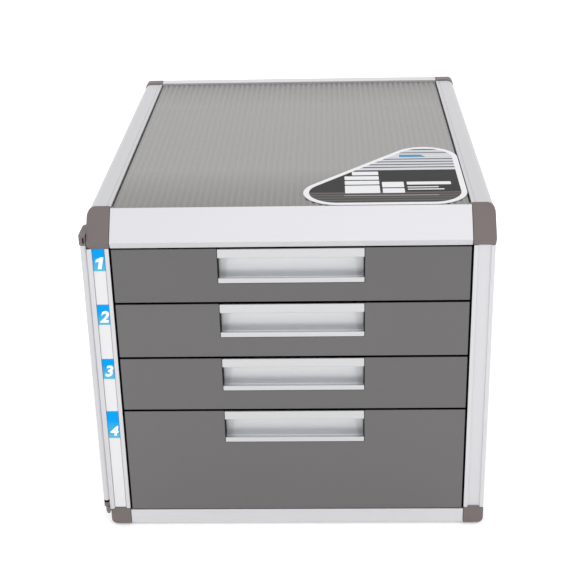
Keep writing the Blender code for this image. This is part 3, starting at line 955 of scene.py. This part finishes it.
@dataclass
class Panels:
    """The ribbed top and the plain sheets."""

    rib_pitch: float = 5.0 * MM
    rib_depth: float = 1.1 * MM
    steps: int = 10
    side_gap: float = 0.5 * MM
    margin: float = 1.2 * MM
    edge: float = 0.2 * MM
    screw_in: float = 7.0 * MM
    screw_radius: float = 3.0 * MM
    screw_rise: float = 1.5 * MM

    def build(self) -> None:
        """Make every sheet of the body."""
        self.build_ribbed("top_panel", PANEL_PAINT)
        for side in ("left", "right"):
            carry(f"{side}_side_panel", PANEL_PAINT, self.edge)
        carry("bottom_panel", TRAY_PAINT, self.edge)
        carry("back_panel", DRAWER_PAINT, self.edge)
        for side in ("left", "right"):
            carry(f"{side}_runner_frame", LINER_PAINT, self.edge)
        self.build_back_screws()

    def build_ribbed(self, node: str, finish: Finish) -> None:
        """Make the top panel's rounded ribs, which run from front to back.

        Args:
            node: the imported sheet.
            finish: its finish.
        """
        span = Span.of(node)
        half = span.size.x / 2 - self.side_gap
        ribs = int((half - self.margin) * 2 / self.rib_pitch)
        ribbed = ribs * self.rib_pitch / 2
        columns = ribs * self.steps
        bm = bmesh.new()
        fit = Matrix.Translation((span.middle.x, span.middle.y, span.high.z))
        fit = fit @ Matrix.Diagonal((ribbed, span.size.y / 2, 1.0, 1.0))
        bmesh.ops.create_grid(bm, x_segments=columns, y_segments=4, size=1.0, matrix=fit)
        for vert in bm.verts:
            turn = 2.0 * math.pi * (vert.co.x - span.middle.x + ribbed) / self.rib_pitch
            vert.co.z -= self.rib_depth * (0.5 + 0.5 * math.cos(turn))
        for sign in (-1.0, 1.0):
            edge = span.middle.x + sign * ribbed
            rim = [e for e in bm.edges if all(abs(v.co.x - edge) < MERGE for v in e.verts)]
            pushed = bmesh.ops.extrude_edge_only(bm, edges=rim)
            out = Vector((sign * (half - ribbed), 0.0, 0.0))
            bmesh.ops.translate(bm, verts=moved_verts(pushed), vec=out)
        bmesh.ops.recalc_face_normals(bm, faces=bm.faces)
        if sum(face.normal.z for face in bm.faces) < 0:
            bmesh.ops.reverse_faces(bm, faces=bm.faces)
        piece = place(f"{node}_piece", bm, finish, [node], 60.0)
        piece.modifiers.remove(piece.modifiers["level_faces"])
        wall = piece.modifiers.new("wall", "SOLIDIFY")
        wall.thickness = span.size.z - self.rib_depth
        wall.offset = -1.0

    def build_back_screws(self) -> None:
        """Make the screws that hold the back sheet."""
        back = Span.of("back_panel")
        inset = self.screw_in
        heights = (back.low.z + inset * 2, back.middle.z, back.high.z - inset * 2)
        for column, x in (("left", back.low.x + inset), ("right", back.high.x - inset)):
            for index, height in enumerate(heights):
                seat = Vector((x, back.high.y, height))
                bm = screw_head(seat, self.screw_radius, self.screw_rise)
                name = f"back_screw_{column}_{index + 1}"
                place(name, bm, SCREW_METAL)


@dataclass
class Drawer:
    """One drawer: its front, handle, tray and screws."""

    number: int
    handle_round: float = 0.4 * MM
    band: float = 7.1 * MM
    hidden: float = 2.4 * MM
    lip: float = 0.6 * MM
    pocket_in: float = 2.0 * MM
    end_shade: float = 8.5 * MM
    front_round: float = 0.5 * MM
    tray_round: float = 0.35 * MM
    shade_strip_rise: float = 0.3 * MM
    shade_strip_back: float = 0.3 * MM
    end_edge: float = 0.15 * MM
    shade_strip_gap: float = 0.02 * MM
    tray_wall: float = 1.5 * MM
    screw_out: float = 88.0 * MM
    screw_radius: float = 3.2 * MM
    screw_rise: float = 1.3 * MM

    @property
    def name(self) -> str:
        """The drawer's name, which is also its body's."""
        return f"drawer_{self.number}"

    def build(self) -> None:
        """Make every piece of the drawer."""
        name = self.name
        # Painted light and shade: this drawer's paint is darkened or lightened for the light that
        # it gets.
        painted_light = DRAWER_PAINTED_LIGHT[self.number - 1]
        paint = replace(DRAWER_PAINT, name=f"{name}_paint", colour=DRAWER_PAINT.shade(painted_light))
        carry(f"{name}_front", paint, self.front_round, body=name)
        handle = f"{name}_handle"
        metal = self.handle_metal(Span.of(handle))
        carry(handle, metal, self.handle_round, body=name)
        for side in ("left", "right"):
            carry(f"{handle}_{side}_end", DARK_PLASTIC, self.end_edge, 2, name)
        carry(f"{name}_tray", TRAY_PAINT, self.tray_round, body=name)
        self.build_shade_strip()
        self.build_screws()

    def handle_metal(self, handle: Span) -> Pocketed:
        """The handle's finish, with its painted pocket shade fitted to its own pocket.

        Args:
            handle: the handle's span.

        Returns:
            The finish.
        """
        top = handle.high.z - self.band - self.hidden
        return replace(
            HANDLE_METAL,
            name=f"{self.name}_handle_aluminium",
            middle=handle.middle.x,
            front=handle.low.y + self.pocket_in,
            top=top,
            drop=top - handle.low.z - self.lip,
            half=handle.size.x / 2 - self.end_shade,
        )

    def build_shade_strip(self) -> None:
        """Make the near-black strip along the top edge of the front: painted shade for the gap
        above it.
        """
        front = Span.of(f"{self.name}_front")
        low = Vector((front.low.x, front.low.y + self.shade_strip_back, front.high.z + self.shade_strip_gap))
        high = Vector((front.high.x, front.high.y, low.z + self.shade_strip_rise))
        bm = block(low, high, self.shade_strip_rise * 0.3)
        place(f"{self.name}_top_shade_strip", bm, SHADE_BLACK, body=self.name)

    def build_screws(self) -> None:
        """Make the screws that hold the front, inside the tray."""
        name = self.name
        tray = Span.of(f"{name}_tray")
        inside = tray.low.y + self.tray_wall
        for side, sign in SIDES:
            seat = Vector((tray.middle.x + sign * self.screw_out, inside, tray.middle.z))
            bm = screw_head(seat, self.screw_radius, self.screw_rise)
            place(f"{name}_screw_{side}", bm, SCREW_METAL, body=name)


@dataclass
class SwingBar:
    """The bar that swings across the drawers, and its brackets."""

    edge: float = 0.3 * MM
    bracket_edge: float = 0.4 * MM
    ring_radius: float = 2.15 * MM
    ring_high: float = 1.9 * MM
    ring_gap: float = 0.05 * MM
    ring_edge: float = 0.2 * MM

    def build(self) -> None:
        """Carry over the bar, its end cap and the fixed brackets."""
        carry("swing_bar", BAR_METAL, self.edge, body=BAR)
        carry("swing_bar_end_cap", BLOCK_PLASTIC, self.edge, body=BAR)
        for level in ("upper", "lower"):
            carry(f"{level}_hinge_bracket", BLOCK_PLASTIC, self.bracket_edge)
        self.build_shade_ring()

    def build_shade_ring(self) -> None:
        """Make the near-black ring between the bar and its end cap: painted shade for the gap
        there.
        """
        bar = Span.of("swing_bar")
        drop = self.ring_high / 2 + self.ring_gap
        centre = Vector((bar.middle.x, bar.low.y + bar.size.x / 2, bar.low.z - drop))
        bm = bmesh.new()
        bmesh.ops.create_cone(
            bm,
            cap_ends=True,
            segments=24,
            radius1=self.ring_radius,
            radius2=self.ring_radius,
            depth=self.ring_high,
            matrix=Matrix.Translation(centre),
        )
        round_edges(bm, self.ring_edge, 2, 60.0)
        place("swing_bar_shade_ring", bm, SHADE_BLACK, body=BAR)


@dataclass
class IndexLabels:
    """Numbered labels in the left post's channel."""

    rise: float = 0.12 * MM
    digit_heights: tuple[float, ...] = (9.6 * MM, 9.8 * MM, 9.8 * MM, 9.0 * MM)
    digit_places: tuple[float, ...] = (0.36, 0.4, 0.4, 0.27)
    digit_right: float = 0.5 * MM
    edge: float = 0.12 * MM
    slant: float = 0.22
    bold: float = 0.035

    def build(self) -> None:
        """Make each label with its digit."""
        for index, height in enumerate(self.digit_heights):
            node = f"index_label_{index + 1}"
            span = Span.of(node)
            name = f"index_film_{index + 1}"
            film = replace(INDEX_FILM, name=name, top=span.high.z, drop=span.size.z)
            carry(node, film, self.edge, 2)
            rise = span.size.z * self.digit_places[index]
            centre = Vector((span.middle.x + self.digit_right, span.low.y, span.low.z + rise))
            bm = self.flagged_stroke() if index == 0 else self.font_digit(str(index + 1))
            self.stand(bm, height, centre)
            place(f"index_digit_{index + 1}", bm, DIGIT_FILM)

    def flagged_stroke(self) -> BMesh:
        """A slanted figure one: a stroke with a flag at its head.

        Returns:
            The figure, lying on its back.
        """
        stroke = [(0.42, 0.0), (0.72, 0.0), (0.72, 1.0), (0.5, 1.0)]
        flag = [(0.16, 0.8), (0.16, 0.56), (0.42, 0.66)]
        leaning = [(x + y * self.slant, y) for x, y in stroke + flag]
        return push(leaning, "Z", -0.5, 0.5)

    def font_digit(self, digit: str) -> BMesh:
        """A slanted bold figure.

        Args:
            digit: the figure.

        Returns:
            The figure, lying on its back.
        """
        curve = bpy.data.curves.new(f"digit_{digit}", "FONT")
        curve.body = digit
        curve.size = 1.0
        curve.extrude = 0.5
        curve.offset = self.bold
        curve.shear = self.slant
        source = bpy.data.objects.new(f"digit_{digit}_source", curve)
        bpy.context.scene.collection.objects.link(source)
        bpy.context.view_layer.update()
        graph = bpy.context.evaluated_depsgraph_get()
        mesh = bpy.data.meshes.new_from_object(source.evaluated_get(graph))
        bm = bmesh.new()
        bm.from_mesh(mesh)
        bpy.data.objects.remove(source)
        bpy.data.meshes.remove(mesh)
        bmesh.ops.remove_doubles(bm, verts=bm.verts, dist=0.0001)
        return bm

    def stand(self, bm: BMesh, height: float, centre: Vector) -> None:
        """Scale a figure to its height and stand it on the label, facing the front.

        Args:
            bm: the figure, lying on its back.
            height: its finished height.
            centre: the middle of the figure on the label.
        """
        low = Vector((min(v.co[i] for v in bm.verts) for i in range(3)))
        high = Vector((max(v.co[i] for v in bm.verts) for i in range(3)))
        scale = height / (high.y - low.y)
        bmesh.ops.translate(bm, verts=bm.verts, vec=-(low + high) / 2)
        sized = Matrix.Diagonal((scale, scale, self.rise, 1.0))
        bmesh.ops.transform(bm, verts=bm.verts, matrix=sized)
        turn = Matrix.Translation(centre) @ Matrix.Rotation(math.radians(90.0), 4, "X")
        bmesh.ops.transform(bm, verts=bm.verts, matrix=turn)
        bmesh.ops.recalc_face_normals(bm, faces=bm.faces)


@dataclass(frozen=True)
class Mark:
    """A flat printed slab, in millimetres from the label's front left corner.

    The lean is how much shorter its head edge is, at the right.
    """

    foot: float
    head: float
    left: float
    right: float
    finish: Finish = WHITE_FILM
    lean: float = 0.0

    def corners(self) -> list[Point]:
        """The slab's four corners."""
        front = [(self.left, self.foot), (self.right, self.foot)]
        return front + [(self.right - self.lean, self.head), (self.left, self.head)]


MARKS = (
    Mark(24.5, 41.5, 32.0, 58.8),
    Mark(43.6, 52.2, 32.0, 58.8),
    Mark(54.4, 62.8, 32.0, 58.8),
    Mark(65.2, 73.6, 38.0, 58.8),
    Mark(24.5, 34.6, 60.8, 77.6),
    Mark(36.8, 49.0, 60.8, 77.6),
    Mark(42.4, 49.0, 80.0, 114.0),
    Mark(36.0, 38.2, 80.0, 104.0),
    Mark(31.0, 33.2, 80.0, 108.0),
    Mark(18.6, 20.0, 31.0, 103.0, FAINT_FILM),
    Mark(108.6, 114.4, 77.5, 99.0, INK_BLUE, 4.0),
)


@dataclass
class TopLabel:
    """The rounded three-cornered label on the top panel."""

    border: float = 4.4 * MM
    film: float = 0.06 * MM
    corner: float = 27.0 * MM
    mark_round: float = 0.8 * MM

    def outline(self, span: Span, inset: float) -> list[Point]:
        """The label's outline, drawn in by some amount.

        Args:
            span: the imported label's span.
            inset: how far inside the edge it runs.

        Returns:
            Its points.
        """
        radius = self.corner
        left = (span.low.x + radius, span.low.y + radius)
        right = (span.high.x - radius, span.low.y + radius)
        back = (span.high.x - radius, span.high.y - radius)
        slope = math.degrees(math.atan2(back[1] - left[1], back[0] - left[0]))
        small = radius - inset
        points = arc(right, small, -90.0, 0.0, 16)
        points += arc(back, small, 0.0, 90.0 + slope, 22)
        points += arc(left, small, 90.0 + slope, 270.0, 22)
        return points

    def build(self) -> None:
        """Make the white backing, the printed field and the marks on it."""
        span = Span.of("top_label")
        foot = span.low.z
        top = span.high.z - self.film
        bm = push(self.outline(span, 0.0), "Z", foot, top)
        place("top_label_backing", bm, WHITE_FILM, ["top_label"])
        printed = replace(LABEL_PRINT, front=span.low.y)
        bm = push(self.outline(span, self.border), "Z", top, top + self.film / 2)
        place("top_label_print", bm, printed)
        self.build_marks(span, top + self.film / 2)

    def build_marks(self, span: Span, base: float) -> None:
        """Make the plain marks: a stack of drawers, some bars and a blue dash.

        Args:
            span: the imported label's span.
            base: the height of the print.
        """
        for index, mark in enumerate(MARKS):
            corners = [(span.low.x + x * MM, span.low.y + y * MM) for x, y in mark.corners()]
            bm = push(corners, "Z", base, base + self.film / 2)
            ends = [[vert.co.z for vert in edge.verts] for edge in bm.edges]
            upright = [edge for edge, (one, two) in zip(bm.edges, ends) if abs(one - two) > MERGE]
            bevel(bm, upright, min(self.mark_round, (mark.head - mark.foot) * MM * 0.3), 4)
            place(f"label_mark_{index + 1}", bm, mark.finish)


# ------------------------------------------------------------------ the studio


@dataclass
class Studio:
    """Camera, lights and the pale floor."""

    camera_out: float = 28.7 * MM
    camera_front: float = 882.7 * MM
    camera_height: float = 613.8 * MM
    pitch: float = 24.396
    heading: float = -2.03
    roll: float = -1.349
    lens: float = 80.42
    floor_size: float = 6.0
    floor_drop: float = 0.2 * MM
    floor_glow: float = 0.2
    sky: float = 1.15

    def build(self) -> None:
        """Set up the studio round the cabinet."""
        self.build_camera()
        self.build_floor()
        self.build_lights()

    def build_camera(self) -> None:
        """Place the camera from the cabinet's own centre line and front plane."""
        post = Span.of("front_right_post")
        cabinet = (Span.of("front_left_post").low.x + post.high.x) / 2
        data = bpy.data.cameras.new("camera")
        data.lens = self.lens
        data.clip_end = 30.0
        camera = bpy.data.objects.new("camera", data)
        bpy.context.scene.collection.objects.link(camera)
        turn = Matrix.Rotation(math.radians(-self.heading), 4, "Z")
        tilt = Matrix.Rotation(math.radians(90.0 - self.pitch), 4, "X")
        lean = Matrix.Rotation(math.radians(self.roll), 4, "Z")
        spot = (cabinet + self.camera_out, post.low.y - self.camera_front, self.camera_height)
        camera.matrix_world = Matrix.Translation(spot) @ turn @ tilt @ lean
        bpy.context.scene.camera = camera

    def build_floor(self) -> None:
        """Lay the pale floor."""
        bm = bmesh.new()
        bmesh.ops.create_grid(bm, x_segments=1, y_segments=1, size=self.floor_size)
        mesh = bpy.data.meshes.new("floor")
        bm.to_mesh(mesh)
        bm.free()
        floor = bpy.data.objects.new("floor", mesh)
        floor.location.z = -self.floor_drop
        bpy.context.scene.collection.objects.link(floor)
        paint = FLOOR_PAINT.material()
        shader = paint.node_tree.nodes["Principled BSDF"]
        shader.inputs["Emission Color"].default_value = WHITE
        shader.inputs["Emission Strength"].default_value = self.floor_glow
        mesh.materials.append(paint)

    def build_lights(self) -> None:
        """Light the cabinet softly from all round."""
        world = bpy.data.worlds.new("studio")
        world.use_nodes = True
        ground = world.node_tree.nodes["Background"]
        ground.inputs["Color"].default_value = WHITE
        ground.inputs["Strength"].default_value = self.sky
        bpy.context.scene.world = world
        bpy.context.scene.view_settings.view_transform = "Standard"
        self.area("key", (0.4, -1.6, 1.9), (0.0, 0.0, 0.15), 1.6, 4.0)
        self.area("fill", (1.5, -1.2, 0.9), (0.0, 0.0, 0.12), 1.4, 1.2)

    def area(
        self, name: str, spot: tuple[float, float, float], aim: tuple[float, float, float],
        size: float, power: float
    ) -> None:
        """Hang one square soft light.

        Args:
            name: the light's name.
            spot: where it hangs.
            aim: what it points at.
            size: its side.
            power: its power.
        """
        data = bpy.data.lights.new(name, "AREA")
        data.size = size
        data.energy = power
        light = bpy.data.objects.new(name, data)
        light.location = spot
        light.rotation_euler = (Vector(aim) - Vector(spot)).to_track_quat("-Z", "Y").to_euler()
        bpy.context.scene.collection.objects.link(light)


def main() -> None:
    """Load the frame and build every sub-assembly."""
    logging.basicConfig(level=logging.INFO)
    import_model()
    OuterFrame().build()
    Panels().build()
    for number in range(1, 5):
        Drawer(number).build()
    SwingBar().build()
    IndexLabels().build()
    TopLabel().build()
    Studio().build()


if __name__ == "__main__":
    main()
